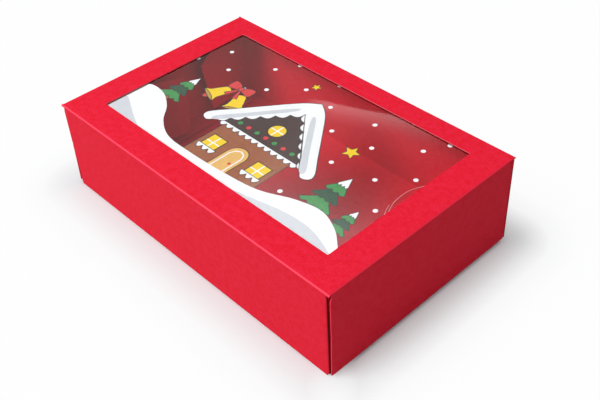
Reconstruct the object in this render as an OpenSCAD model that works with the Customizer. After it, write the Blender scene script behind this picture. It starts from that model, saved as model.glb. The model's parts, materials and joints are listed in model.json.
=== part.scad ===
// Sweet box: a straight-tuck-end carton of dyed-through paperboard that lies flat.
// Its top panel has a die-cut window with clear film glued behind it.
// Millimetres. X runs along the box, Y across it, Z up, origin under its centre.

/* [Carton] */
// Length over the two end flaps
box_length = 220; // [190:1:300]
// Width over the front and back panels
box_width = 138; // [130:1:200]
// Height over the top and bottom panels
box_height = 58; // [50:1:90]
// Thickness of the paperboard
card = 0.6; // [0.3:0.05:0.9]
// Inner radius of every fold
fold_radius = 0.5; // [0.3:0.05:0.9]

/* [Window] */
// Card left between the window and each end
window_end_margin = 19; // [14:0.5:40]
// Card left between the window and the front
window_front_margin = 18.4; // [12:0.1:40]
// Card left between the window and the back
window_back_margin = 14; // [12:0.1:40]
// Radius of the window's corners
window_corner = 0.6; // [0.2:0.1:8]
// Thickness of the clear film
film = 0.2; // [0.1:0.05:0.4]
// How far the film reaches under the card around the window
film_lap = 8; // [4:0.5:9]
// Thickness of the glue that holds the film
film_glue_thickness = 0.1; // [0.05:0.05:0.3]
// Bare strip of film at each side of the glue band
film_glue_setback = 1; // [0.5:0.1:1.5]

/* [Glued seam] */
// Height of the flap that joins the bottom panel to the front panel
seam_height = 12; // [8:1:20]
// How much each end of that flap is cut back at its top edge
seam_taper = 6; // [2:0.5:12]
// Thickness of the glue in the seam
seam_glue_thickness = 0.1; // [0.05:0.05:0.3]
// Bare strip of the seam flap around its glue
seam_glue_setback = 1.5; // [0.5:0.1:3]
// Gap under the raw lower edge of the front panel
front_edge_gap = 0.3; // [0.1:0.05:0.8]

/* [End flaps] */
// How far an end flap stops short of the box's front
end_flap_front_inset = 1; // [0.8:0.1:3]
// How far an end flap stops short of the box's back
end_flap_back_inset = 3.6; // [3:0.1:8]
// How much an end flap widens towards its foot, at the front
foot_flare = 0.6; // [0:0.1:0.7]
// Height of the relief at each upper corner of an end flap
relief_height = 4; // [3:0.5:10]
// How far that relief narrows the flap
relief_depth = 1.2; // [0.3:0.1:4]
// Height of the small nick that the die leaves in each side edge
nick_height = 0.8; // [0.4:0.1:2]
// Depth of that nick
nick_depth = 0.4; // [0.1:0.05:1]
// Gap around the fold in which nothing stiff may start
crease_clearance = 0.2; // [0.1:0.05:0.5]

/* [Tongues] */
// Length of the tongue beyond its fold
tongue_length = 14; // [8:0.5:20]
// Radius of the tongue's corners
tongue_corner = 8; // [2:0.5:8]
// How much narrower a tongue is than its end flap, at each side
tongue_inset = 1.5; // [1.2:0.1:5]
// Gap under a tongue, above the bottom panel
tongue_lift = 0.25; // [0.15:0.05:0.6]
// Share of the flap's swing by which its tongue folds further in
tongue_follow = 0.25; // [0.2:0.01:0.5]

/* [Dust flaps] */
// Gap between an end flap and the front dust flap's fold behind it
front_dust_gap = 1.2; // [0.8:0.1:3]
// Gap between an end flap's edge and the back dust flap, whose fold stands beside that edge
back_dust_gap = 0.2; // [0.15:0.05:1]
// Angle by which a dust flap springs inwards
dust_lean = 12; // [6:0.5:16]
// Length of a front dust flap along its upper edge
front_dust_length = 76; // [40:1:80]
// Length of a back dust flap along its upper edge
back_dust_length = 45; // [20:1:50]
// How far the upper edge of a front dust flap curves down
front_dust_drop = 7; // [5:0.5:20]
// How far the upper edge of a back dust flap curves down
back_dust_drop = 12.5; // [5:0.5:20]
// How much shorter a front dust flap is at its foot
front_dust_slant = 1; // [0:0.5:8]
// How much shorter a back dust flap is at its foot
back_dust_slant = 9.5; // [0:0.5:12]
// Depth of a dust flap's upper edge below the top of the box, beside its fold
dust_shoulder = 3; // [2.5:0.1:6]
// Height of a dust flap's lower edge above the ground, beside its fold
dust_foot = 4; // [3.5:0.1:10]
// Length over which a dust flap narrows from its fold to those edges
dust_neck = 1.2; // [0.8:0.1:1.3]
// Width of the slit between a dust flap's fold and the long folds above and below it
slit = 0.3; // [0.1:0.05:1]
// How far the lower edge curves up
dust_foot_rise = 4; // [1:0.5:10]

/* [Hidden] */
red = [0.86, 0.13, 0.22];
dark_red = [0.66, 0.09, 0.15];
clear = [0.85, 0.9, 0.95, 0.35];
glue_tint = [0.93, 0.9, 0.8, 0.6];

half_length = box_length / 2;
half_width = box_width / 2;
outer_radius = card + fold_radius;

// Centres of the long folds, seen along the box
side_y = half_width - outer_radius;
top_z = box_height - outer_radius;
seam_y = card + seam_glue_thickness - side_y;

// Centres of the end folds and of the tongues' folds
end_x = half_length - outer_radius;
tongue_z = card + tongue_lift + outer_radius;

// The stiff part of an end flap starts where it clears the top panel when bent back
crease_run = outer_radius + crease_clearance;
flap_front = end_flap_front_inset - half_width;
flap_back = half_width - end_flap_back_inset;

// Centres of the dust flaps' folds. The back one is set by where the leaning flap
// passes behind the end flap's edge.
front_dust_x = half_length - card - front_dust_gap - outer_radius;
edge_run = (side_y - flap_back - outer_radius * sin(dust_lean)) / cos(dust_lean);
edge_reach = outer_radius * cos(dust_lean) - max(0, edge_run) * sin(dust_lean);
back_dust_x = half_length - card - back_dust_gap - edge_reach;

// The tongue is folded past square by just enough to slide out over the bottom panel
tongue_swing = top_z - tongue_z;
tongue_tilt = asin(tongue_length * pow(1 - tongue_follow, 2) / (2 * tongue_swing));
tongue_front = flap_front + tongue_inset;
tongue_back = flap_back - tongue_inset;
tongue_width = tongue_back - tongue_front;
tongue_round = min(tongue_corner, tongue_length - 1);

window_size = [box_length - 2 * window_end_margin,
               box_width - window_front_margin - window_back_margin];
window_centre_y = (window_front_margin - window_back_margin) / 2;

seam_half = front_dust_x - card;
smooth = 96;
edge_smooth = 720;

// Shared shapes

// Rectangle with round corners, centred
module rounded(size, r) {
    square([size[0] - 2 * r, size[1]], center = true);
    square([size[0], size[1] - 2 * r], center = true);
    for (x = [-1, 1], y = [-1, 1])
        translate([x * (size[0] / 2 - r), y * (size[1] / 2 - r)])
            circle(r = r, $fn = smooth);
}

// The window's outline, grown by a margin
module window_outline(grow, r) {
    translate([0, window_centre_y])
        rounded([window_size[0] + 2 * grow, window_size[1] + 2 * grow], r);
}

// Card bent round the Z axis, from the +X side through the given angle
module bend(height, angle) {
    rotate_extrude(angle = angle, $fn = smooth)
        translate([fold_radius, 0])
            square([card, height]);
}

// Stands a shape drawn across the box, in Y and Z, along X
module along_x(from) {
    translate([from, 0, 0])
        rotate([90, 0, 90])
            children();
}

// A long fold between two panels of the sleeve
module long_fold(y, z, turn, half) {
    translate([-half, y, z])
        rotate([90, 0, 90])
            rotate([0, 0, turn])
                bend(2 * half, 90);
}

// Ends and sides: shapes are drawn for the right end and the front
module right_end() {
    children();
}

module left_end() {
    mirror([1, 0, 0])
        children();
}

module back_side() {
    mirror([0, 1, 0])
        children();
}

// Sleeve

module top_panel() {
    color(red)
        translate([0, 0, box_height - card])
            linear_extrude(card)
                difference() {
                    square([2 * end_x, 2 * side_y], center = true);
                    window_outline(0, window_corner);
                }
}

module front_panel() {
    color(red)
        translate([-front_dust_x, -half_width, front_edge_gap])
            cube([2 * front_dust_x, card, top_z - front_edge_gap]);
}

module bottom_panel() {
    color(red)
        translate([-end_x, seam_y, 0])
            cube([2 * end_x, side_y - seam_y, card]);
}

module back_panel() {
    color(red)
        translate([-back_dust_x, half_width - card, outer_radius])
            cube([2 * back_dust_x, card, top_z - outer_radius]);
}

module top_front_fold() {
    color(red)
        long_fold(-side_y, top_z, 90, half_length);
}

module bottom_front_fold() {
    color(red)
        long_fold(seam_y, outer_radius, 180, seam_half);
}

module top_back_fold() {
    color(red)
        long_fold(side_y, top_z, 0, half_length);
}

module bottom_back_fold() {
    color(red)
        long_fold(side_y, outer_radius, 270, back_dust_x);
}

module seam_flap() {
    color(dark_red)
        translate([0, seam_y - fold_radius, outer_radius])
            rotate([90, 0, 0])
                linear_extrude(card)
                    polygon([
                        [-seam_half, 0],
                        [seam_half, 0],
                        [seam_half - seam_taper, seam_height],
                        [seam_taper - seam_half, seam_height]
                    ]);
}

module seam_glue() {
    half = seam_half - seam_taper - seam_glue_setback;
    color(glue_tint)
        translate([-half, -half_width + card, outer_radius + seam_glue_setback])
            cube([2 * half, seam_glue_thickness, seam_height - 2 * seam_glue_setback]);
}

// Window

module window_film() {
    color(clear)
        translate([0, 0, box_height - card - film_glue_thickness - film])
            linear_extrude(film)
                window_outline(film_lap, window_corner);
}

module film_glue() {
    color(glue_tint)
        translate([0, 0, box_height - card - film_glue_thickness])
            linear_extrude(film_glue_thickness)
                difference() {
                    window_outline(film_lap - film_glue_setback, window_corner);
                    window_outline(film_glue_setback, window_corner);
                }
}

// Ends

// The fold that hangs an end flap from the top panel, with its short straight run
module end_fold() {
    run_width = flap_back - flap_front - 2 * relief_depth;
    color(red) {
        translate([end_x, side_y, top_z])
            rotate([90, 0, 0])
                bend(2 * side_y, 90);
        translate([end_x + fold_radius, flap_front + relief_depth, top_z - crease_run])
            cube([card, run_width, crease_run]);
    }
}

module end_flap() {
    relief_z = top_z - relief_height;
    start_z = top_z - crease_run;
    middle_z = (tongue_z + top_z) / 2;
    color(dark_red)
        along_x(half_length - card)
            linear_extrude(card)
                difference() {
                    polygon([
                        [flap_front - foot_flare, tongue_z],
                        [flap_back, tongue_z],
                        [flap_back, relief_z],
                        [flap_back - relief_depth, start_z],
                        [flap_front + relief_depth, start_z],
                        [flap_front, relief_z],
                        [flap_front, middle_z]
                    ]);
                    for (y = [flap_front, flap_back])
                        translate([y, middle_z])
                            square([2 * nick_depth, nick_height], center = true);
                }
}

module tongue_fold() {
    color(dark_red)
        translate([end_x, tongue_back, tongue_z])
            rotate([90, 0, 0])
                rotate([0, 0, -90 - tongue_tilt])
                    bend(tongue_width, 90 + tongue_tilt);
}

// A tongue seen flat, from its fold at X 0 and its front edge at Y 0, with round free corners
module tongue_outline() {
    straight = tongue_length - tongue_round;
    intersection() {
        square([tongue_length, tongue_width]);
        union() {
            square([straight, tongue_width]);
            translate([0, tongue_round])
                square([tongue_length, tongue_width - 2 * tongue_round]);
            for (y = [tongue_round, tongue_width - tongue_round])
                translate([straight, y])
                    circle(r = tongue_round, $fn = smooth);
        }
    }
}

module tongue() {
    color(dark_red)
        translate([end_x, tongue_front, tongue_z])
            rotate([0, tongue_tilt, 0])
                mirror([1, 0, 0])
                    translate([0, 0, -outer_radius])
                        linear_extrude(card)
                            tongue_outline();
}

// Radius of an arc that starts level and curves away by a drop over a length
function arc_radius(length, drop) = (length * length + drop * drop) / (2 * drop);

// The fold between a side panel and its dust flap, from its lower to its upper slit
dust_fold_low = outer_radius + slit;
dust_fold_high = top_z - slit;

module dust_fold(x) {
    color(dark_red)
        translate([x, -side_y, dust_fold_low])
            rotate([0, 0, -90])
                bend(dust_fold_high - dust_fold_low, 90 + dust_lean);
}

// A dust flap: a neck beside its fold, then upper and lower edges that curve together
module dust_flap(x, length, drop, slant) {
    high = box_height - dust_shoulder;
    upper = arc_radius(length, drop);
    lower = arc_radius(length, dust_foot_rise);
    color(dark_red)
        translate([x, -side_y, 0])
            rotate([0, 0, dust_lean])
                along_x(fold_radius)
                    linear_extrude(card)
                        union() {
                            polygon([
                                [0, dust_fold_low],
                                [dust_neck, dust_foot],
                                [dust_neck, high],
                                [0, dust_fold_high]
                            ]);
                            intersection() {
                                polygon([
                                    [0, dust_foot],
                                    [length - slant, dust_foot],
                                    [length, high],
                                    [0, high]
                                ]);
                                translate([0, high - upper])
                                    circle(r = upper, $fn = edge_smooth);
                                translate([0, dust_foot + lower])
                                    circle(r = lower, $fn = edge_smooth);
                            }
                        }
}

module front_dust_fold() {
    dust_fold(front_dust_x);
}

module front_dust_flap() {
    dust_flap(front_dust_x, front_dust_length, front_dust_drop, front_dust_slant);
}

module back_dust_fold() {
    back_side()
        dust_fold(back_dust_x);
}

module back_dust_flap() {
    back_side()
        dust_flap(back_dust_x, back_dust_length, back_dust_drop, back_dust_slant);
}

top_panel();
front_panel();
bottom_panel();
back_panel();
top_front_fold();
bottom_front_fold();
top_back_fold();
bottom_back_fold();
seam_flap();
seam_glue();
window_film();
film_glue();
right_end() end_fold();  // right_end_fold
right_end() end_flap();  // right_end_flap
right_end() tongue_fold();  // right_tongue_fold
right_end() tongue();  // right_tongue
right_end() front_dust_fold();  // right_front_dust_fold
right_end() front_dust_flap();  // right_front_dust_flap
right_end() back_dust_fold();  // right_back_dust_fold
right_end() back_dust_flap();  // right_back_dust_flap
left_end() end_fold();  // left_end_fold
left_end() end_flap();  // left_end_flap
left_end() tongue_fold();  // left_tongue_fold
left_end() tongue();  // left_tongue
left_end() front_dust_fold();  // left_front_dust_fold
left_end() front_dust_flap();  // left_front_dust_flap
left_end() back_dust_fold();  // left_back_dust_fold
left_end() back_dust_flap();  // left_back_dust_flap
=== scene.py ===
# Windowed sweet box: the looks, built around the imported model
import json
import math

import bmesh
import bpy
from mathutils import Matrix, Vector
from mathutils.geometry import delaunay_2d_cdt


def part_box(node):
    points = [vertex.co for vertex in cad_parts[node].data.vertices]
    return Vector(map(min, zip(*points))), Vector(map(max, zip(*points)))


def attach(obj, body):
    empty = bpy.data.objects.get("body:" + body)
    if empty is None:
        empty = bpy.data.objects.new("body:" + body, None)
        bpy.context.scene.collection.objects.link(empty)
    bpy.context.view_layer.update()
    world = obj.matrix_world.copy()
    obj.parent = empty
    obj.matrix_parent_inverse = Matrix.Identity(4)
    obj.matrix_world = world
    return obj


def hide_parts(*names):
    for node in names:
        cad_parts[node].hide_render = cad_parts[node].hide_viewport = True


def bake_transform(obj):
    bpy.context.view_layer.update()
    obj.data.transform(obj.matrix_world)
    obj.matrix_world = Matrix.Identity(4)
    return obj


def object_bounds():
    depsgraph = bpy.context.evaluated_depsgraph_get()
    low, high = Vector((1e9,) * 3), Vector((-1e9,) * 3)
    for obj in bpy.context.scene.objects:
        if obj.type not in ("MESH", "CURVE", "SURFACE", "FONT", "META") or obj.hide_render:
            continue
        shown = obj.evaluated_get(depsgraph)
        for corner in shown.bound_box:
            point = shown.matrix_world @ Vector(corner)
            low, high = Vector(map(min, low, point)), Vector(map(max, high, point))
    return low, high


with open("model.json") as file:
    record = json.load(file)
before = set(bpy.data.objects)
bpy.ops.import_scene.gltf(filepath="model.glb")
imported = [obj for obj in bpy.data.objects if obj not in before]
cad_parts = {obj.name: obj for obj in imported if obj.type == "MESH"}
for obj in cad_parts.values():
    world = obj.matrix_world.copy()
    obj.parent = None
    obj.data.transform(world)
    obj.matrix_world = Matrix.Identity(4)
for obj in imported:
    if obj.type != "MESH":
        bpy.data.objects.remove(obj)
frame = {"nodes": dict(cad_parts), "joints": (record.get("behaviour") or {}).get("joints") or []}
cad_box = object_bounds()
MM = 0.001

# Camera, fitted to the straight edges of the photograph
CAMERA_PLACE = Vector((0.31226, -0.26111, 0.35404))
CAMERA_RIGHT = Vector((0.68957, 0.72282, -0.04504))
CAMERA_FORWARD = Vector((-0.56941, 0.50268, -0.65045))
SENSOR_MM = 36
LENS_MM = 54.634

# Strength of the surround at the horizon, how much stronger it is overhead, and how much
# stronger or weaker towards one side
WORLD_LEVEL = 0.10
WORLD_ZENITH = 1.0
WORLD_TILT = (0.2, -0.75, 0)

# Sizes that part.scad gives, in metres
CARD = 0.6 * MM
FOLD_INNER = 0.5 * MM
FOLD_OUTER = FOLD_INNER + CARD
CREASE_RUN = 1.3 * MM
RELIEF = 1.2 * MM
DUST_LEAN = math.radians(12)
TONGUE_TILT = math.radians(4.11)

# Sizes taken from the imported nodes, in metres
film_low, film_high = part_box("window_film")
RED = (0.78, 0.0140, 0.046)
DARKER_RED = (0.725, 0.0020, 0.018)
RAW_EDGE = (0.84, 0.035, 0.070)
# Crease colours: lighter where the card stretches over a bend, and partly a painted highlight
CREASE_AND_HIGHLIGHT = (0.87, 0.058, 0.108)
SOFT_CREASE_AND_HIGHLIGHT = (0.83, 0.020, 0.052)
CUT_EDGE = (0.90, 0.13, 0.17)
# Painted shade: near black, for the part of a dust crease that faces into the deep slot beside an end flap
SLOT_PAINTED_SHADE = (0.05, 0.0006, 0.002)


def set_camera():
    """Puts the camera at the photograph's viewing angle."""
    camera = bpy.data.objects.new("camera", bpy.data.cameras.new("camera"))
    bpy.context.collection.objects.link(camera)
    camera.data.sensor_width = SENSOR_MM
    camera.data.lens = LENS_MM
    camera.data.clip_start = 0.01
    forward = CAMERA_FORWARD.normalized()
    right = CAMERA_RIGHT.normalized()
    up = right.cross(forward)
    turn = Matrix((right, up, -forward)).transposed().to_4x4()
    camera.matrix_world = Matrix.Translation(CAMERA_PLACE) @ turn
    bpy.context.scene.camera = camera


def area_light(name, place, target, size, power):
    """A soft rectangular lamp that faces a point."""
    lamp = bpy.data.lights.new(name, "AREA")
    lamp.shape = "RECTANGLE"
    lamp.size, lamp.size_y = size
    lamp.energy = power
    light = bpy.data.objects.new(name, lamp)
    bpy.context.collection.objects.link(light)
    light.location = place
    aim = Vector(target) - Vector(place)
    light.rotation_euler = aim.to_track_quat("-Z", "Y").to_euler()
    return light


def set_stops(node, levels):
    """Gives a colour ramp grey stops, as (position, level)."""
    elements = node.color_ramp.elements
    while len(elements) > 1:
        elements.remove(elements[-1])
    for i, (position, level) in enumerate(levels):
        element = elements[0] if i == 0 else elements.new(position)
        element.position, element.color = position, (level, level, level, 1)


def graded_light(name, place, turn, size, power):
    """A level softbox, turned about the vertical, that the film mirrors. It is bright along its
    far and near edges, dark between them, and fades towards its sides."""
    light = area_light(name, place, (place[0], place[1], 0), size, power)
    light.rotation_euler = (0, 0, turn)
    light.data.use_nodes = True
    nodes, links = light.data.node_tree.nodes, light.data.node_tree.links
    across = nodes.new("ShaderNodeNewGeometry")
    split = nodes.new("ShaderNodeSeparateXYZ")
    product = nodes.new("ShaderNodeMath")
    product.operation = "MULTIPLY"
    links.new(across.outputs["Parametric"], split.inputs[0])
    stops = (
        ("Y", ((0.0, 0.9), (0.26, 0.9), (0.40, 0.45), (0.52, 0.22), (0.62, 0.13), (0.75, 0.10), (0.87, 0.17), (0.92, 0.4), (1.0, 1.0))),
        ("X", ((0.0, 0.0), (0.12, 1.0), (0.75, 1.0), (1.0, 0.25))),
    )
    for side, (axis, levels) in enumerate(stops):
        ramp = nodes.new("ShaderNodeValToRGB")
        set_stops(ramp, levels)
        links.new(split.outputs[axis], ramp.inputs["Fac"])
        links.new(ramp.outputs["Color"], product.inputs[side])
    links.new(product.outputs[0], nodes["Emission"].inputs["Strength"])


class Shader:
    """A node material under construction."""

    def __init__(self, name):
        self.material = bpy.data.materials.new(name)
        self.material.use_nodes = True
        self.nodes = self.material.node_tree.nodes
        self.nodes.clear()
        self.links = self.material.node_tree.links

    def add(self, kind, **values):
        """Adds a node and sets its properties and inputs by name."""
        node = self.nodes.new(kind)
        for key, value in values.items():
            if hasattr(node, key):
                setattr(node, key, value)
            else:
                node.inputs[key.replace("_", " ")].default_value = value
        return node

    def join(self, source, target):
        self.links.new(source, target)

    def finish(self, surface):
        out = self.add("ShaderNodeOutputMaterial")
        self.join(surface, out.inputs["Surface"])
        return self.material

    def ramp(self, source, low, high, start=0.0, end=1.0):
        """A colour ramp between two colours, fed by a number."""
        node = self.add("ShaderNodeValToRGB")
        first, last = node.color_ramp.elements
        first.position, first.color = start, (*low, 1)
        last.position, last.color = end, (*high, 1)
        self.join(source, node.inputs["Fac"])
        return node.outputs["Color"]

    def mix(self, factor, first, second):
        """A mix of two colours, each a socket or a plain colour."""
        node = self.add("ShaderNodeMix", data_type="RGBA")
        for socket, value in ((node.inputs[0], factor), (node.inputs[6], first), (node.inputs[7], second)):
            if hasattr(value, "is_output"):
                self.join(value, socket)
            else:
                socket.default_value = value if isinstance(value, float) else (*value, 1)
        return node.outputs[2]

    def facing(self, direction, low, high, both=True):
        """How closely the surface faces along a line, or in a direction where both is False,
        from 0 at low to 1 at high."""
        place = self.add("ShaderNodeTexCoord")
        dot = self.add("ShaderNodeVectorMath", operation="DOT_PRODUCT")
        dot.inputs[1].default_value = direction
        self.join(place.outputs["Normal"], dot.inputs[0])
        reach = self.add("ShaderNodeMapRange", interpolation_type="SMOOTHSTEP")
        reach.inputs["From Min"].default_value = low
        reach.inputs["From Max"].default_value = high
        if both:
            size = self.add("ShaderNodeMath", operation="ABSOLUTE")
            self.join(dot.outputs["Value"], size.inputs[0])
            self.join(size.outputs[0], reach.inputs["Value"])
        else:
            self.join(dot.outputs["Value"], reach.inputs["Value"])
        return reach.outputs["Result"]


def card_material(name, across, fold=False, crease=None, stretched_and_highlight=CREASE_AND_HIGHLIGHT, raw_edge=RAW_EDGE, slot=None):
    """Dyed-through paperboard. across is the line along which its raw edges do not face, or for
    a fold, the line along which they face; crease is the direction that the outside of the bend
    faces, painted lighter partly for the card's stretching and partly as a painted highlight;
    slot is the direction of the part painted near black, as painted shade for a deep slot."""
    shader = Shader(name)
    place = shader.add("ShaderNodeTexCoord").outputs["Object"]
    grain = shader.add("ShaderNodeTexNoise", Scale=1100.0, Detail=3.0, Roughness=0.6)
    cloud = shader.add("ShaderNodeTexNoise", Scale=260.0, Detail=4.0, Roughness=0.6)
    fibre = shader.add("ShaderNodeTexNoise", Scale=2600.0, Detail=2.0)
    for texture in (grain, cloud, fibre):
        shader.join(place, texture.inputs["Vector"])
    colour = shader.mix(
        0.5,
        shader.ramp(grain.outputs["Fac"], DARKER_RED, RED, 0.42, 0.58),
        shader.ramp(cloud.outputs["Fac"], DARKER_RED, RED, 0.38, 0.62),
    )
    # The outside of a bend is painted lighter: partly the card's stretching, partly a painted highlight
    if crease:
        colour = shader.mix(shader.facing(crease, 0.86, 0.97, both=False), colour, stretched_and_highlight)
    # Painted shade: where the card faces into the slot its colour turns near black
    if slot:
        colour = shader.mix(shader.facing(slot, 0.45, 0.96, both=False), colour, SLOT_PAINTED_SHADE)
    if fold:
        raw = shader.facing(across, 0.75, 0.95)
        colour = shader.mix(raw, colour, raw_edge)
    else:
        sheet = shader.facing(across, 0.3, 0.5)
        colour = shader.mix(sheet, raw_edge, colour)
    bump = shader.add("ShaderNodeBump", Strength=0.25, Distance=0.00005)
    shader.join(fibre.outputs["Fac"], bump.inputs["Height"])
    surface = shader.add("ShaderNodeBsdfPrincipled", Roughness=0.75)
    surface.inputs["Specular IOR Level"].default_value = 0.2
    shader.join(colour, surface.inputs["Base Color"])
    shader.join(bump.outputs["Normal"], surface.inputs["Normal"])
    return shader.finish(surface.outputs["BSDF"])


def film_material():
    """Clear, slightly wavy film: what lies behind shows, and its outer face mirrors the surround.
    Beside the window's left and back edges it is darkened and mirrors nothing, as painted shade for the gap where it
    sinks below the card."""
    shader = Shader("clear_film")
    place = shader.add("ShaderNodeTexCoord").outputs["Object"]
    wave = shader.add("ShaderNodeTexNoise", Scale=9.0, Detail=0.0)
    bump = shader.add("ShaderNodeBump", Strength=0.25, Distance=0.004)
    shader.join(place, wave.inputs["Vector"])
    shader.join(wave.outputs["Fac"], bump.inputs["Height"])
    clear = shader.add("ShaderNodeBsdfTransparent")
    mirror = shader.add("ShaderNodeBsdfGlossy", Roughness=0.025)
    fresnel = shader.add("ShaderNodeFresnel", IOR=1.5)
    shader.join(bump.outputs["Normal"], mirror.inputs["Normal"])
    shader.join(bump.outputs["Normal"], fresnel.inputs["Normal"])
    split = shader.add("ShaderNodeSeparateXYZ")
    shader.join(place, split.inputs[0])
    # Painted shade: along the window's left and back edges the film is darkened and mirrors nothing
    painted_edge_shade = shader.add("ShaderNodeMath", operation="MAXIMUM")
    for socket, (axis, reach) in enumerate((("X", (-90.4 * MM, -90.0 * MM, 1, 0)), ("Y", (53.9 * MM, 54.3 * MM, 0, 1)))):
        edge = shader.add("ShaderNodeMapRange")
        for key, value in zip(("From Min", "From Max", "To Min", "To Max"), reach):
            edge.inputs[key].default_value = value
        shader.join(split.outputs[axis], edge.inputs["Value"])
        shader.join(edge.outputs["Result"], painted_edge_shade.inputs[socket])
    shader.join(shader.mix(painted_edge_shade.outputs[0], (1, 1, 1), (0.75, 0.7, 0.7)), clear.inputs["Color"])
    back = shader.add("ShaderNodeNewGeometry")
    dull = shader.add("ShaderNodeMath", operation="MAXIMUM")
    front_only = shader.add("ShaderNodeMath", operation="MULTIPLY")
    invert = shader.add("ShaderNodeMath", operation="SUBTRACT")
    invert.inputs[0].default_value = 1.0
    shader.join(back.outputs["Backfacing"], dull.inputs[0])
    shader.join(painted_edge_shade.outputs[0], dull.inputs[1])
    shader.join(dull.outputs[0], invert.inputs[1])
    shader.join(fresnel.outputs["Fac"], front_only.inputs[0])
    shader.join(invert.outputs[0], front_only.inputs[1])
    mix = shader.add("ShaderNodeMixShader")
    shader.join(front_only.outputs[0], mix.inputs[0])
    shader.join(clear.outputs[0], mix.inputs[1])
    shader.join(mirror.outputs[0], mix.inputs[2])
    return shader.finish(mix.outputs[0])


def speckled_material(name, low, high, scale, roughness, specular=0.5):
    """A surface whose tone varies a little from place to place."""
    shader = Shader(name)
    place = shader.add("ShaderNodeTexCoord").outputs["Object"]
    noise = shader.add("ShaderNodeTexNoise", Scale=scale, Detail=2.0)
    shader.join(place, noise.inputs["Vector"])
    surface = shader.add("ShaderNodeBsdfPrincipled", Roughness=roughness)
    surface.inputs["Specular IOR Level"].default_value = specular
    shader.join(shader.ramp(noise.outputs["Fac"], low, high, 0.3, 0.7), surface.inputs["Base Color"])
    return shader.finish(surface.outputs["BSDF"])


def floor_material():
    """A pale floor that keeps the shadow close to the box and turns plain white further out,
    with the red cast beside the box held back, and with painted light that lifts the shadow
    round the box's front right corner."""
    shader = Shader("studio_floor")
    path = shader.add("ShaderNodeLightPath")
    place = shader.add("ShaderNodeTexCoord")
    size = shader.add("ShaderNodeVectorMath", operation="ABSOLUTE")
    beyond = shader.add("ShaderNodeVectorMath", operation="SUBTRACT")
    beyond.inputs[1].default_value = (cad_box[1][0], cad_box[1][1], 0)
    clear = shader.add("ShaderNodeVectorMath", operation="MAXIMUM")
    away = shader.add("ShaderNodeVectorMath", operation="LENGTH")
    share = shader.add("ShaderNodeMath", operation="MULTIPLY")
    share.inputs[1].default_value = 10.0
    whiter = shader.add("ShaderNodeValToRGB")
    set_stops(whiter, ((0.0, 0.0), (0.005, 0.08), (0.015, 0.20), (0.03, 0.26), (0.06, 0.32), (0.10, 0.41), (0.16, 0.60), (0.25, 0.86), (0.40, 0.95), (0.70, 0.97)))
    shader.join(place.outputs["Object"], size.inputs[0])
    shader.join(size.outputs[0], beyond.inputs[0])
    shader.join(beyond.outputs[0], clear.inputs[0])
    shader.join(clear.outputs[0], away.inputs[0])
    shader.join(away.outputs["Value"], share.inputs[0])
    shader.join(share.outputs[0], whiter.inputs["Fac"])
    # Painted light: a patch that lightens the floor's shadow round the box's front right corner
    corner = shader.add("ShaderNodeVectorMath", operation="DISTANCE")
    corner.inputs[1].default_value = (cad_box[1][0] + 11 * MM, cad_box[0][1] - 10 * MM, 0)
    corner_painted_light = shader.add("ShaderNodeMapRange", interpolation_type="SMOOTHSTEP")
    for key, value in (("From Min", 2 * MM), ("From Max", 36 * MM), ("To Min", 0.8), ("To Max", 0.0)):
        corner_painted_light.inputs[key].default_value = value
    lift = shader.add("ShaderNodeMath", operation="MAXIMUM")
    shader.join(place.outputs["Object"], corner.inputs[0])
    shader.join(corner.outputs["Value"], corner_painted_light.inputs["Value"])
    shader.join(whiter.outputs["Color"], lift.inputs[0])
    shader.join(corner_painted_light.outputs["Result"], lift.inputs[1])
    seen = shader.add("ShaderNodeBsdfDiffuse")
    seen.inputs["Color"].default_value = (0.65, 0.69, 0.71, 1)
    bounced = shader.add("ShaderNodeBsdfDiffuse")
    bounced.inputs["Color"].default_value = (0.55, 0.55, 0.55, 1)
    white = shader.add("ShaderNodeEmission", Strength=1.0)
    lifted = shader.add("ShaderNodeMixShader")
    shader.join(lift.outputs[0], lifted.inputs[0])
    shader.join(seen.outputs[0], lifted.inputs[1])
    shader.join(white.outputs[0], lifted.inputs[2])
    mix = shader.add("ShaderNodeMixShader")
    shader.join(path.outputs["Is Camera Ray"], mix.inputs[0])
    shader.join(bounced.outputs[0], mix.inputs[1])
    shader.join(lifted.outputs[0], mix.inputs[2])
    return shader.finish(mix.outputs[0])


def add_floor():
    """A wide plane under the box."""
    mesh = bpy.data.meshes.new("floor")
    half = 6.0
    low = cad_box[0][2] - 0.0001
    corners = [(-half, -half, low), (half, -half, low), (half, half, low), (-half, half, low)]
    mesh.from_pydata(corners, [], [(0, 1, 2, 3)])
    floor = bpy.data.objects.new("floor", mesh)
    bpy.context.collection.objects.link(floor)
    mesh.materials.append(floor_material())


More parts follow.
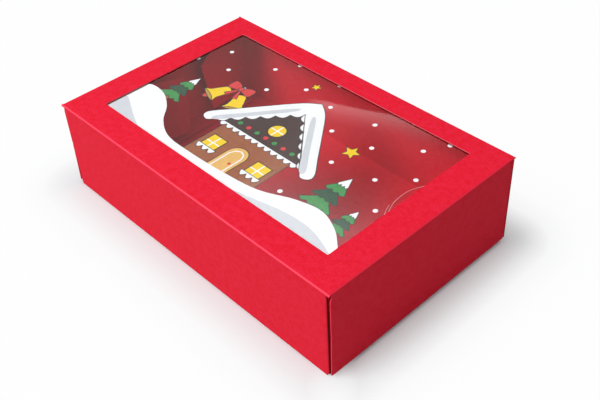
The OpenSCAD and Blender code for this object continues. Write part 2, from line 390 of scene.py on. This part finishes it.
def set_world():
    """A white surround that is brightest overhead. The camera sees it as plain white, and so do
    mirrors, but for a duller half that keeps the film clear towards the right."""
    world = bpy.data.worlds.new("surround")
    bpy.context.scene.world = world
    world.use_nodes = True
    nodes, links = world.node_tree.nodes, world.node_tree.links
    dim = nodes["Background"]
    dim.inputs["Color"].default_value = (1, 1, 1, 1)
    place = nodes.new("ShaderNodeTexCoord")
    split = nodes.new("ShaderNodeSeparateXYZ")
    square = nodes.new("ShaderNodeMath")
    square.operation = "MULTIPLY"
    strength = nodes.new("ShaderNodeMath")
    strength.operation = "MULTIPLY_ADD"
    strength.inputs[1].default_value = WORLD_ZENITH
    strength.inputs[2].default_value = WORLD_LEVEL
    links.new(place.outputs["Generated"], split.inputs[0])
    links.new(split.outputs["Z"], square.inputs[0])
    links.new(split.outputs["Z"], square.inputs[1])
    links.new(square.outputs[0], strength.inputs[0])
    lean = nodes.new("ShaderNodeVectorMath")
    lean.operation = "DOT_PRODUCT"
    lean.inputs[1].default_value = WORLD_TILT
    tilted = nodes.new("ShaderNodeMath")
    tilted.operation = "MULTIPLY_ADD"
    links.new(place.outputs["Generated"], lean.inputs[0])
    links.new(strength.outputs[0], tilted.inputs[0])
    links.new(lean.outputs["Value"], tilted.inputs[1])
    links.new(strength.outputs[0], tilted.inputs[2])
    links.new(tilted.outputs[0], dim.inputs["Strength"])
    side = nodes.new("ShaderNodeVectorMath")
    side.operation = "DOT_PRODUCT"
    side.inputs[1].default_value = (-0.743, -0.669, 0)
    fade = nodes.new("ShaderNodeMapRange")
    fade.interpolation_type = "SMOOTHSTEP"
    fade.inputs["From Min"].default_value = 0.0
    fade.inputs["From Max"].default_value = 0.12
    fade.inputs["To Min"].default_value = 0.42
    links.new(place.outputs["Generated"], side.inputs[0])
    links.new(side.outputs["Value"], fade.inputs["Value"])
    white = nodes.new("ShaderNodeBackground")
    path = nodes.new("ShaderNodeLightPath")
    either = nodes.new("ShaderNodeMath")
    either.operation = "MAXIMUM"
    seen = nodes.new("ShaderNodeMath")
    seen.operation = "MAXIMUM"
    shown = nodes.new("ShaderNodeMath")
    shown.operation = "MAXIMUM"
    links.new(path.outputs["Is Camera Ray"], shown.inputs[0])
    links.new(fade.outputs["Result"], shown.inputs[1])
    links.new(shown.outputs[0], white.inputs["Strength"])
    links.new(path.outputs["Is Camera Ray"], either.inputs[0])
    links.new(path.outputs["Is Glossy Ray"], either.inputs[1])
    links.new(either.outputs[0], seen.inputs[0])
    links.new(path.outputs["Is Transmission Ray"], seen.inputs[1])
    mix = nodes.new("ShaderNodeMixShader")
    links.new(seen.outputs[0], mix.inputs[0])
    links.new(dim.outputs[0], mix.inputs[1])
    links.new(white.outputs[0], mix.inputs[2])
    links.new(mix.outputs[0], nodes["World Output"].inputs["Surface"])


def dress(node, material):
    """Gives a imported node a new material."""
    mesh = frame["nodes"][node].data
    mesh.materials.clear()
    mesh.materials.append(material)


def sharpen(bm, degrees):
    """Smooth faces, with the edges that turn further than an angle kept sharp."""
    for face in bm.faces:
        face.smooth = True
    for edge in bm.edges:
        edge.smooth = len(edge.link_faces) == 2 and edge.calc_face_angle(0) < math.radians(degrees)


def new_piece(name, bm, material):
    """Makes an object of a finished bmesh."""
    bmesh.ops.recalc_face_normals(bm, faces=bm.faces)
    mesh = bpy.data.meshes.new(name)
    bm.to_mesh(mesh)
    bm.free()
    piece = bpy.data.objects.new(name, mesh)
    bpy.context.collection.objects.link(piece)
    mesh.materials.append(material)
    return piece


# Folds that move: card bent round an axis, which on the real box bends further with its joint

def arc(start, end, steps=14):
    """Pairs of outer and inner points of bent card, from one angle to another in radians."""
    angles = [start + (end - start) * i / steps for i in range(steps + 1)]
    return [
        tuple((r * math.cos(a), r * math.sin(a)) for r in (FOLD_OUTER, FOLD_INNER))
        for a in angles
    ]


def folded_card(name, profile, stations, missing, place, material):
    """Card that follows a profile and runs through the stations along its axis. missing names the
    cells, as (profile step, station step), that are cut away; place puts a point in the frame."""
    bm = bmesh.new()
    grid = [
        [[bm.verts.new(place(*point, along)) for along in stations] for point in pair]
        for pair in profile
    ]
    cells = {
        (i, j)
        for i in range(len(profile) - 1)
        for j in range(len(stations) - 1)
        if (i, j) not in missing
    }
    for i, j in cells:
        for side in (0, 1):
            bm.faces.new([grid[i][side][j], grid[i + 1][side][j], grid[i + 1][side][j + 1], grid[i][side][j + 1]])
        borders = {
            (i - 1, j): ((i, j), (i, j + 1)),
            (i + 1, j): ((i + 1, j), (i + 1, j + 1)),
            (i, j - 1): ((i, j), (i + 1, j)),
            (i, j + 1): ((i, j + 1), (i + 1, j + 1)),
        }
        for neighbour, ((a, b), (c, d)) in borders.items():
            if neighbour not in cells:
                bm.faces.new([grid[a][0][b], grid[c][0][d], grid[c][1][d], grid[a][1][b]])
    loose = [v for v in bm.verts if not v.link_faces]
    bmesh.ops.delete(bm, geom=loose, context="VERTS")
    bmesh.ops.recalc_face_normals(bm, faces=bm.faces)
    sharpen(bm, 40)
    return new_piece(name, bm, material)


def joint_place(name):
    return Vector(next(j for j in frame["joints"] if j["name"] == name)["pos_m"])


def add_folds(end, sign):
    """The four moving folds of one end; sign is 1 for the right end and -1 for the left."""
    axis = joint_place(f"{end}_end_opens")
    low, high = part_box(f"{end}_end_fold")
    flap_low, flap_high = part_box(f"{end}_end_flap")
    tongue_low, tongue_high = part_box(f"{end}_tongue_fold")
    profile = arc(math.pi / 2, 0)
    steps = len(profile) - 1
    runs = 4
    profile += [((FOLD_OUTER, -CREASE_RUN * i / runs), (FOLD_INNER, -CREASE_RUN * i / runs)) for i in range(1, runs + 1)]
    run_front = tongue_low.y - 1.5 * MM + RELIEF
    run_back = flap_high.y - RELIEF
    stations = [low.y, run_front, run_back, high.y]
    missing = {(steps + i, j) for i in range(runs) for j in (0, 2)}
    # The end crease's outside is painted a little lighter: partly stretching, partly a painted highlight
    fold = folded_card(
        f"{end}_end_crease", profile, stations, missing,
        lambda u, v, along: Vector((axis.x + sign * u, along, axis.z + v)),
        card_material(f"{end}_end_crease", (0, 1, 0), True, (sign * 0.707, 0, 0.707), SOFT_CREASE_AND_HIGHLIGHT),
    )
    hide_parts(f"{end}_end_fold")
    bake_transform(fold)

    axis = joint_place(f"{end}_tongue_folds")
    pivot = axis
    fold = folded_card(
        f"{end}_tongue_crease", arc(0, -math.pi / 2 - TONGUE_TILT), [tongue_low.y, tongue_high.y], (),
        lambda u, v, along: Vector((pivot.x + sign * u, along, pivot.z + v)),
        card_material(f"{end}_tongue_crease", (0, 1, 0), True),
    )
    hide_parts(f"{end}_tongue_fold")
    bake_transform(fold)

    for side, turn in (("front", 1), ("back", -1)):
        hinge = joint_place(f"{end}_{side}_dust_swings")
        outward = Vector((sign * math.cos(DUST_LEAN), turn * math.sin(DUST_LEAN), 0))
        low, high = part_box(f"{end}_{side}_dust_fold")
        # The dust crease's face towards the end flap is painted near black, as painted shade for the slot
        fold = folded_card(
            f"{end}_{side}_dust_crease", arc(-math.pi / 2, DUST_LEAN), [low.z, high.z], (),
            lambda u, v, along: Vector((hinge.x + sign * u, hinge.y + turn * v, along)),
            card_material(f"{end}_{side}_dust_crease", (0, 0, 1), True, slot=tuple(outward)),
        )
        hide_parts(f"{end}_{side}_dust_fold")
        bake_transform(fold)


# Print on the film: a winter pattern drawn flat, in millimetres, seen through the film

INK_STEP = 0.012 * MM
INK_THICKNESS = 0.009 * MM
LAYERS = 14


def smooth_loop(points, steps=8, closed=True):
    """A smooth curve through points."""
    out = []
    count = len(points)
    if not closed:
        points = [points[0]] + list(points) + [points[-1]]
    for i in range(count if closed else count - 1):
        if closed:
            before, here, after, beyond = (Vector(points[(i + k) % count]) for k in (-1, 0, 1, 2))
        else:
            before, here, after, beyond = (Vector(p) for p in points[i:i + 4])
        for s in range(steps):
            t = s / steps
            out.append(0.5 * (
                2 * here + (after - before) * t
                + (2 * before - 5 * here + 4 * after - beyond) * t * t
                + (3 * here - before - 3 * after + beyond) * t ** 3
            ))
    return out


def circle(x, y, radius, steps=28):
    turns = [2 * math.pi * i / steps for i in range(steps)]
    return [Vector((x + radius * math.cos(a), y + radius * math.sin(a))) for a in turns]


class Print:
    """Thin solid shapes in one ink, laid under the film. Layer 0 lies deepest."""

    def __init__(self, name, colour, shade):
        self.name, self.colour, self.shade = name, colour, shade
        self.bm = bmesh.new()

    def heights(self, layer):
        top = film_low.z - INK_STEP * (LAYERS - layer + 0.2)
        return top, top - INK_THICKNESS

    def fill(self, points, layer):
        """A filled outline."""
        flat = [Vector((p[0], p[1])) for p in points]
        verts, _, faces, *_ = delaunay_2d_cdt(flat, [], [list(range(len(flat)))], 1, 0.001)
        top, bottom = self.heights(layer)
        upper = [self.bm.verts.new((v.x * MM, v.y * MM, top)) for v in verts]
        lower = [self.bm.verts.new((v.x * MM, v.y * MM, bottom)) for v in verts]
        borders = {}
        for face in faces:
            self.bm.faces.new([upper[i] for i in face])
            self.bm.faces.new([lower[i] for i in reversed(face)])
            for a, b in zip(face, face[1:] + face[:1]):
                if (b, a) in borders:
                    del borders[(b, a)]
                else:
                    borders[(a, b)] = True
        for a, b in borders:
            self.bm.faces.new([upper[b], upper[a], lower[a], lower[b]])
        for vert in upper + lower:
            if not vert.link_faces:
                self.bm.verts.remove(vert)

    def stroke(self, points, width, layer, closed=True):
        """A line of even width along points."""
        count = len(points)
        points = [Vector(p) for p in points]
        pairs = []
        for i, p in enumerate(points):
            before = points[i - 1] if closed or i else p
            after = points[(i + 1) % count] if closed or i < count - 1 else p
            first, second = (p - before), (after - p)
            if first.length < 1e-9:
                first = second
            if second.length < 1e-9:
                second = first
            normal = (first.normalized() + second.normalized())
            normal = Vector((-normal.y, normal.x)).normalized()
            stretch = max(0.5, normal.dot(Vector((-first.y, first.x)).normalized()))
            half = normal * (width / 2 / stretch)
            pairs.append((p + half, p - half))
        top, bottom = self.heights(layer)
        verts = [
            [self.bm.verts.new((q[0] * MM, q[1] * MM, z)) for q in pair for z in (top, bottom)]
            for pair in pairs
        ]
        for i in range(count if closed else count - 1):
            a, b = verts[i], verts[(i + 1) % count]
            for p, q in ((0, 2), (2, 3), (3, 1), (1, 0)):
                self.bm.faces.new([a[p], b[p], b[q], a[q]])
        if not closed:
            for end in (verts[0], verts[-1]):
                self.bm.faces.new([end[0], end[2], end[3], end[1]])

    def finish(self):
        material = speckled_material(self.name, self.shade, self.colour, 350.0, 0.4, 0.2)
        piece = new_piece(self.name, self.bm, material)
        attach(piece, "sleeve")


def inside(point, loop):
    """Whether a point lies inside a closed outline."""
    x, y = point
    hit = False
    for a, b in zip(loop, loop[1:] + loop[:1]):
        if (a[1] > y) != (b[1] > y) and x < a[0] + (b[0] - a[0]) * (y - a[1]) / (b[1] - a[1]):
            hit = not hit
    return hit


def scallops(start, end, count, depth):
    """A row of round lobes to the right of a line, from its start to its end."""
    start, end = Vector(start), Vector(end)
    along = end - start
    out = Vector((along.y, -along.x)).normalized()
    steps = count * 8
    return [start + along * (i / steps) + out * depth * abs(math.sin(math.pi * count * i / steps)) for i in range(steps + 1)]


def add_print():
    """The winter pattern: snow drifts, a gingerbread house, firs, bells and falling snow."""
    white = Print("print_white", (0.93, 0.94, 0.955), (0.90, 0.91, 0.935))
    pale = Print("print_pale_grey", (0.66, 0.69, 0.73), (0.61, 0.64, 0.69))
    brown = Print("print_brown", (0.36, 0.115, 0.045), (0.30, 0.09, 0.035))
    dark = Print("print_dark_brown", (0.060, 0.027, 0.024), (0.050, 0.022, 0.020))
    tan = Print("print_tan", (0.82, 0.50, 0.15), (0.76, 0.45, 0.13))
    yellow = Print("print_yellow", (0.93, 0.66, 0.010), (0.88, 0.60, 0.008))
    gold = Print("print_gold_shade", (0.51, 0.32, 0.055), (0.46, 0.28, 0.045))
    red = Print("print_red", (0.72, 0.045, 0.045), (0.66, 0.035, 0.035))
    green = Print("print_green", (0.055, 0.30, 0.080), (0.045, 0.26, 0.065))
    deep_green = Print("print_dark_green", (0.020, 0.085, 0.040), (0.017, 0.070, 0.034))
    line = Print("print_outline", (0.030, 0.026, 0.027), (0.025, 0.022, 0.023))
    solid = []

    def shape(ink, points, order, outline=0.0, blocks=True):
        ink.fill(points, 2 * order)
        if outline:
            line.stroke(points, outline, 2 * order + 1)
        if blocks:
            solid.append([Vector(p) for p in points])

    # Snow drifts along the front
    def drift(ink, top, order, outline=0.0):
        edge = smooth_loop(top, closed=False)
        shape(ink, edge + [Vector(top[-1]), Vector((96, -57)), Vector((-96, -57))], order)
        if outline:
            line.stroke(edge, outline, 2 * order + 1, closed=False)

    drift(white, [(-96, -24), (-88, -19), (-76, -20), (-64, -27), (-54, -37), (-40, -44), (-20, -45),
                  (4, -44), (30, -41), (50, -33), (66, -30), (80, -35), (90, -43), (96, -48)], 4)
    drift(pale, [(-96, -37), (-88, -37), (-74, -44), (-60, -50), (-40, -54), (-10, -54),
                 (14, -51), (34, -47), (54, -43), (72, -43), (88, -48), (96, -52)], 5)

    # House: walls, gable, door, windows and sweets
    middle = 1
    wall = [(middle - 27, -50), (middle - 27, -12), (middle + 27, -12), (middle + 27, -50)]
    shape(brown, wall, 0, 0.5)
    gable = [(middle - 34, -15), (middle, 25), (middle + 34, -15)]
    shape(dark, gable, 1, 0.5)
    icing = scallops((middle - 31, -14.4), (middle + 31, -14.4), 12, 2.6) + [(middle + 31, -13.2), (middle - 31, -13.2)]
    shape(white, icing, 2, 0.4)
    door = [(middle - 7, -46), (middle - 7, -30)]
    door += [(middle - 7 * math.cos(math.pi * i / 12), -30 + 7 * math.sin(math.pi * i / 12)) for i in range(1, 12)]
    door += [(middle + 7, -30), (middle + 7, -46)]
    shape(tan, door, 2, 0.5)
    white.stroke([(middle - 4.6, -46), (middle - 4.6, -30.5), (middle - 3, -27.2), (middle, -25.8), (middle + 3, -27.2),
                  (middle + 4.6, -30.5), (middle + 4.6, -46)], 0.8, 6, closed=False)
    shape(red, circle(middle + 2.4, -37, 1.0, 16), 3)
    for x in (middle - 18, middle + 18):
        pane = [(x - 5.5, -37), (x + 5.5, -37), (x + 5.5, -25), (x - 5.5, -25)]
        shape(yellow, pane, 2, 0.6)
        white.stroke([(x, -36.7), (x, -25.3)], 0.8, 6, closed=False)
        white.stroke([(x - 5.2, -31), (x + 5.2, -31)], 0.8, 7, closed=False)
        sill = scallops((x - 7, -36.4), (x + 7, -36.4), 3, 2.6) + [(x + 7, -35.2), (x - 7, -35.2)]
        shape(white, sill, 4, 0.4)
    shape(yellow, circle(middle, 0, 5.4), 2, 0.6)
    white.stroke([(middle, -5), (middle, 5)], 0.8, 6, closed=False)
    white.stroke([(middle - 5, 0), (middle + 5, 0)], 0.8, 7, closed=False)
    for i, x in enumerate((-21, -14, -7, 0, 7, 14, 21)):
        shape(red if i % 2 else green, circle(middle + x, -8.6, 1.7, 20), 2, 0.35)

    # Snow on the roof
    slope = smooth_loop([(0, 35), (9, 28.5), (22, 13), (34, -2), (42.5, -12.5), (43, -17.5), (38.5, -19.5), (35, -16.5)], 6, closed=False)
    left = [Vector((middle - p.x, p.y)) for p in reversed(slope)]
    right = [Vector((middle + p.x, p.y)) for p in slope]
    lower_left = scallops((middle - 34.5, -15.5), (middle, 21.5), 6, 2.4)
    lower_right = [Vector((2 * middle - p.x, p.y)) for p in reversed(lower_left)]
    shape(white, left + right[1:] + lower_right[:-1] + list(reversed(lower_left)), 4, 0.5)
    for side in (-1, 1):
        shade = smooth_loop([(middle + side * x, y) for x, y in ((37, -14), (25, 1), (8, 22), (6.5, 19.5), (21, 0.5), (33.5, -15.5))], 5)
        shape(pale, shade, 5, blocks=False)

    # Firs with snow on their branches
    for x, y, size in ((-72, -21, 1.0), (60, -31, 1.15), (80, -37, 0.75)):
        trunk = [(x - 1.8 * size, y - 5 * size), (x + 1.8 * size, y - 5 * size), (x + 1.8 * size, y + 3 * size), (x - 1.8 * size, y + 3 * size)]
        shape(brown, trunk, 0, 0.4)
        for tier, (base, half, top) in enumerate(((1.5, 9.5, 12), (8, 7.6, 18.5), (14.5, 5.8, 25.5))):
            lobes = scallops((x - half * size, y + base * size), (x + half * size, y + base * size), 4 - (tier > 1), 1.3 * size)
            side = [(x + half * 0.45 * size, y + (base + (top - base) * 0.45) * size), (x, y + top * size),
                    (x - half * 0.45 * size, y + (base + (top - base) * 0.45) * size)]
            shape(deep_green if tier % 2 else green, lobes + side, 1 + tier, 0.4)
        cap = scallops((x - 3.0 * size, y + 19.6 * size), (x + 3.0 * size, y + 19.6 * size), 3, 1.2 * size) + [(x, y + 25.8 * size)]
        shape(white, cap, 4, 0.35)

    # Two bells on a bow
    for side in (-1, 1):
        x, y, lean = -45 + side * 8.2, 3, side * 0.42

        def turned(points):
            c, s = math.cos(lean), math.sin(lean)
            return [(x + c * p[0] - s * p[1], y + s * p[0] + c * p[1]) for p in points]

        shape(red, circle(*turned([(0, -8.0)])[0], 1.9, 20), 0, 0.4)
        bell = [(0, 7.6), (-2.9, 6.6), (-4.1, 2), (-4.9, -3), (-7.0, -6.4), (-3.6, -7.1), (0, -7.3), (3.6, -7.1), (7.0, -6.4), (4.9, -3), (4.1, 2), (2.9, 6.6)]
        shape(yellow, smooth_loop(turned(bell), 6), 1, 0.5)
        mouth = [(-6.6, -6.4), (-3.5, -5.3), (0, -5.0), (3.5, -5.3), (6.6, -6.4), (3.4, -7.1), (0, -7.3), (-3.4, -7.1)]
        shape(gold, smooth_loop(turned(mouth), 6), 2, 0.4)
    bow = Vector((-45, 13.5))
    for side in (-1, 1):
        tail = [(0.4, 0), (5.6, -8.6), (3.9, -8.9), (3.0, -10.6), (-0.2, -1)]
        shape(red, [bow + Vector((side * a, b)) for a, b in tail], 3, 0.4)
        wing = [(0, 1.0), (4, 3.8), (8.4, 4.2), (9.2, -0.6), (7.8, -3.2), (3.6, -2.2), (0, -1.0)]
        shape(red, smooth_loop([bow + Vector((side * a, b)) for a, b in wing], 6), 4, 0.45)
    shape(red, circle(*bow, 1.9, 20), 5, 0.45)

    # Stars
    for x, y, size in ((44, 14, 5.5), (-14, 45, 3.4)):
        star = [
            (x + size * (0.47 if i % 2 else 1) * math.sin(math.pi * i / 5), y + size * (0.47 if i % 2 else 1) * math.cos(math.pi * i / 5))
            for i in range(10)
        ]
        shape(yellow, star, 2, 0.4)

    # Falling snow
    for row in range(7):
        for column in range(8):
            x = -92 + 29 * column + 14.5 * (row % 2) + 4 * math.sin(2.3 * row + 1.7 * column)
            y = -50 + 17.8 * row + 3 * math.cos(1.9 * column + 0.8 * row)
            around = circle(x, y, 3.2, 12) + [Vector((x, y))]
            if abs(x) < 95 and -54 < y < 59 and not any(inside(p, loop) for loop in solid for p in around):
                white.fill(circle(x, y, 1.4, 20), 4)

    for ink in (white, pale, brown, dark, tan, yellow, gold, red, green, deep_green, line):
        ink.finish()


def add_film_marks():
    """Two fine creases in the film near its front right corner."""
    marks = Print("film_creases", (0.78, 0.42, 0.44), (0.70, 0.36, 0.38))
    for points in (
        [(90.4, 19.2), (88.3, 14.6), (87.1, 10.6), (86.9, 4.5), (87.8, -1.5), (90.5, -8.2)],
        [(87.3, -4.0), (88.6, -7.6), (90.6, -11.2)],
    ):
        marks.stroke(smooth_loop(points, 6, closed=False) + [Vector(points[-1])], 0.22, LAYERS, closed=False)
    marks.finish()


set_camera()
set_world()
add_floor()
area_light("key", (-0.42, -1.12, 1.35), (0, 0, 0), (1.0, 1.0), 22.5)
graded_light("back", (-0.581, 0.623, 0.80), math.radians(18), (0.36, 0.425), 1.12)

flat = card_material("red_card_flat", (0, 0, 1))
windowed = card_material("red_card_top", (0, 0, 1), raw_edge=CUT_EDGE)
upright = card_material("red_card_upright", (0, 1, 0))
end_card = card_material("red_card_end", (1, 0, 0))
glue = speckled_material("dried_glue", (0.5, 0.45, 0.35), (0.75, 0.7, 0.6), 300.0, 0.35)
for name in frame["nodes"]:
    if name == "window_film":
        dress(name, film_material())
    elif "glue" in name:
        dress(name, glue)
    elif name.startswith(("top_", "bottom_")) and name.endswith("_fold"):
        up = 0.707 if name.startswith("top") else -0.707
        out = -0.707 if "front" in name else 0.707
        # The long folds' outsides are painted lighter: partly stretching, partly a painted highlight
        dress(name, card_material(name, (1, 0, 0), True, (0, out, up)))
    elif name == "top_panel":
        dress(name, windowed)
    elif name == "bottom_panel" or name.endswith("_tongue"):
        dress(name, flat)
    elif name.endswith(("end_flap", "dust_flap")):
        dress(name, end_card)
    else:
        dress(name, upright)

add_folds("right", 1)
add_folds("left", -1)
add_print()
add_film_marks()

bpy.context.scene.view_settings.view_transform = "Standard"
